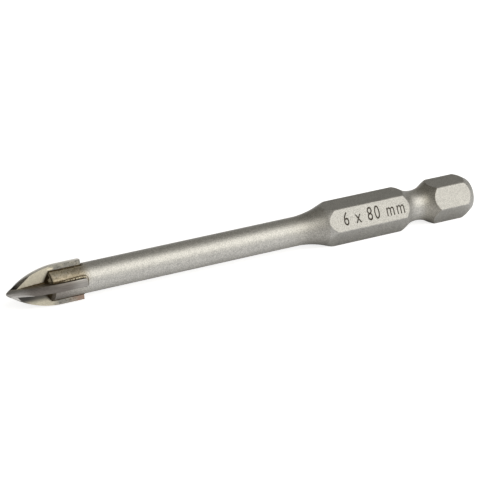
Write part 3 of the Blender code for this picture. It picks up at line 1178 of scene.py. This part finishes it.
def foot_bead(length, number):
    """One bead all round a blade's foot, on a blade that points along +Y."""
    back = overall_length - length - slot_end_clearance / 2
    front = overall_length - (nose_from_tip + bead_front_gap) * MM
    spots = []
    for along, across in slot_edge_path(back, front):
        height = math.sqrt(shaft_radius ** 2 - across ** 2)
        spots.append(Vector((along, height, across)))
    on_through_plate = number % 2 == 0
    stations = []
    for index, spot in enumerate(spots):
        ahead = spots[min(index + 1, len(spots) - 1)] - spots[max(index - 1, 0)]
        radial = Vector((0, spot.y, spot.z)).normalized()
        half_width = bead_width * MM
        from_tip = (overall_length - spot.x) / MM
        if on_through_plate and spot.z > 0:
            run = min(max((from_tip - run_out_start) / (run_out_full - run_out_start), 0.0), 1.0)
            half_width += bead_width_at_end * MM * run * 0.5
        if on_through_plate and from_tip > behind_blade:
            half_width = max(half_width, (bead_width + wider_round_end * bead_width_at_end) * MM)
        outward = math.copysign(half_width - bead_width * MM, spot.z)
        place = spot + Vector((0, 0, outward * shift_with_width)) - radial * bead_sink
        swell = uneven(spot, 3.7 * number)
        widths = (half_width * swell, bead_height * swell)
        stations.append(station_frame(place, ahead.normalized(), radial, *widths))
    bm = bmesh.new()
    sweep_bead(bm, stations)
    bmesh.ops.transform(bm, matrix=clock(blade_clocking + 90.0 * number), verts=bm.verts)
    return make_object(bm, f"foot_bead_{number}", braze_material)


# %% [markdown]
# In front of the steel nose there is no slot to fill. There the filler crept forward in the inner
# corners between the plates, and got thinner as it ran. Each seam is a bead whose size grows backward.

# %% Braze: tapering seams in the inner corners
seam_start = 1.7
seam_overlap = 0.3
seam_tip = 0.02 * MM
seam_reach = 0.24 * MM
seam_unevenness = 0.25


def corner_seam(number):
    """The filler that ran forward in one inner corner between two blades."""
    half = plate_thickness / 2
    stations = []
    count = int((nose_from_tip - seam_start) * MM / bead_step)
    for step in range(count + 1):
        share = step / count
        along = overall_length - (seam_start + (nose_from_tip + seam_overlap - seam_start) * share) * MM
        place = Vector((along, half, half))
        reach = (seam_tip + seam_reach * share) * uneven(place, 11.3 + number, seam_unevenness)
        outward = Vector((0, 1, 1)).normalized()
        stations.append(station_frame(place, Vector((-1, 0, 0)), outward, reach, reach))
    bm = bmesh.new()
    sweep_bead(bm, stations)
    bmesh.ops.transform(bm, matrix=clock(blade_clocking + 90.0 * number), verts=bm.verts)
    return make_object(bm, f"corner_seam_{number}", braze_material)


# %% [markdown]
# The film in the slots is the slots' own shape. Two simple forms trim it: the nose, a hair larger
# than in the steel, and the room that each plate takes.

# %% Braze: what trims the filler
film_proud = 0.02 * MM
trimmed_length = 20 * MM


def nose_form():
    """The unslotted nose, a hair larger, that trims the film."""
    rim = overall_length - nose_from_tip * MM + film_proud
    rim_radius = shaft_radius - nose_chamfer + film_proud
    corners = [
        (overall_length - trimmed_length, 0.0, 0.0),
        (overall_length - trimmed_length, shaft_radius + film_proud, 0.0),
        (rim - nose_chamfer, shaft_radius + film_proud, 0.0),
        (rim, rim_radius, 0.0),
        (rim + rim_radius / math.tan(nose_cone_half_angle), 0.0, 0.0),
    ]
    return make_object(turn_wire(corners, arc_segments=1), "nose_form", braze_material)


def plate_room(length, degrees, root):
    """The room of a plate that reaches from its root to beyond its edge."""
    bm = bmesh.new()
    reach = 2 * cutting_radius
    bmesh.ops.create_cube(bm, size=1.0)
    bmesh.ops.scale(bm, verts=bm.verts, vec=(2 * length, reach - root, plate_thickness))
    bmesh.ops.translate(bm, verts=bm.verts, vec=(overall_length, (reach + root) / 2, 0))
    bmesh.ops.transform(bm, matrix=clock(degrees), verts=bm.verts)
    return make_object(bm, "plate_room", braze_material)


# %% [markdown]
# The crossed slots are joined and trimmed to the nose. All the beads are joined to that, and then
# the plates' room is cut out, so that the filler meets the plates face to face.

# %% Braze: the whole filler
def make_braze():
    filler = make_slot(through_plate_length, blade_clocking + 90.0)
    filler.name = "braze"
    filler.data.materials[0] = braze_material
    carve(filler, make_slot(half_plate_length, blade_clocking), "UNION")
    carve(filler, nose_form(), "INTERSECT")
    for number in range(4):
        length = through_plate_length if number % 2 == 0 else half_plate_length
        carve(filler, foot_bead(length, number), "UNION")
        carve(filler, corner_seam(number), "UNION")
    carve(filler, plate_room(through_plate_length, blade_clocking, -2 * cutting_radius))
    for degrees in (90.0, 270.0):
        carve(filler, plate_room(half_plate_length, blade_clocking + degrees, 0.0))
    filler.data.materials.clear()
    filler.data.materials.append(braze_material)
    filler.data.shade_smooth()
    filler.data.set_sharp_from_angle(angle=math.radians(40.0))
    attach(filler, "root")
    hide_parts("braze_filler")
    report_piece(filler)


make_braze()

# %% [markdown]
# The picture was taken on a white ground. The floor is a pale sheet that catches a soft shadow.
# A little light of its own, seen by the camera and in reflections, brings it up to white
# without adding any light to the bit's own shading. In reflections that light fades close to the
# bit, where a real floor lies in the bit's contact shadow: an Ambient Occlusion node measures this.

# %% Floor
floor_size = 6.0
floor_color = (0.62, 0.62, 0.62, 1.0)
floor_glow = 0.78
mirrored_glow = 0.69
mirrored_color = (0.98, 0.985, 1.02, 1.0)
contact_reach = 3.5 * MM
contact_depth = 1.6


def make_floor():
    bm = bmesh.new()
    bmesh.ops.create_grid(bm, x_segments=1, y_segments=1, size=floor_size / 2)
    bmesh.ops.translate(bm, verts=bm.verts, vec=(0, 0, -hex_half))
    material, tree, shader = new_material("floor", Roughness=1.0)
    shader.inputs["Base Color"].default_value = floor_color
    shader.inputs["Specular IOR Level"].default_value = 0.0
    light_path = tree.nodes.new("ShaderNodeLightPath").outputs
    reach = {"Distance": contact_reach}
    open_sky = add_node(tree, "ShaderNodeAmbientOcclusion", reach, samples=8).outputs["AO"]
    shade = math_node(tree, "POWER", open_sky, contact_depth)
    mirrored = times(tree, light_path["Is Glossy Ray"], times(tree, shade, mirrored_glow))
    direct = math_node(tree, "ADD", light_path["Is Camera Ray"], light_path["Is Transmission Ray"])
    seen = times_plus(tree, direct, floor_glow, mirrored)
    tree.links.new(seen, shader.inputs["Emission Strength"])
    glow_color = blend_colors(tree, light_path["Is Glossy Ray"], white, mirrored_color)
    tree.links.new(glow_color, shader.inputs["Emission Color"])
    floor = make_object(bm, "floor", material)


make_floor()

# %% [markdown]
# A satin metal shows what stands round it, blurred. Behind and above the bit is a dim room. The world
# does this: it is grey overhead, and white at the horizon, where views from other sides see it.

# %% World
room_color = (0.312, 0.304, 0.281, 1.0)
horizon_low = 0.10
horizon_high = 0.22


def make_world():
    world = bpy.data.worlds.new("room")
    world.use_nodes = True
    bpy.context.scene.world = world
    tree = world.node_tree
    background = tree.nodes["Background"]
    direction = tree.nodes.new("ShaderNodeTexCoord").outputs["Generated"]
    height = add_node(tree, "ShaderNodeSeparateXYZ", {0: direction}).outputs[2]
    overhead = ramp(tree, height, horizon_low, horizon_high)
    level = blend_colors(tree, overhead, white, room_color)
    tree.links.new(level, background.inputs["Color"])


make_world()

# %% [markdown]
# The photograph has one large soft light, in front and above, to the camera's right. A wide area
# light does the same. Its size sets how broad the bright band along the shaft is.

# %% Key light
key_direction = Vector((-0.42, 0.583, 0.592))
key_distance = 1.0
key_width = 0.95
key_height = 0.96
key_power = 7.5
key_color = (1.0, 0.985, 0.94)


def make_softbox():
    light = bpy.data.lights.new("key_softbox", "AREA")
    light.color = key_color
    light.shape = "RECTANGLE"
    light.size = key_width
    light.size_y = key_height
    light.energy = key_power
    lamp = add_object("key_softbox", light)
    lamp.location = view_target + key_direction.normalized() * key_distance
    lamp.rotation_mode = "QUATERNION"
    lamp.rotation_quaternion = (-key_direction).to_track_quat("-Z", "Y")
    print("softbox at", [round(value, 2) for value in lamp.location], "m")


make_softbox()
bpy.context.scene.view_settings.view_transform = "Standard"
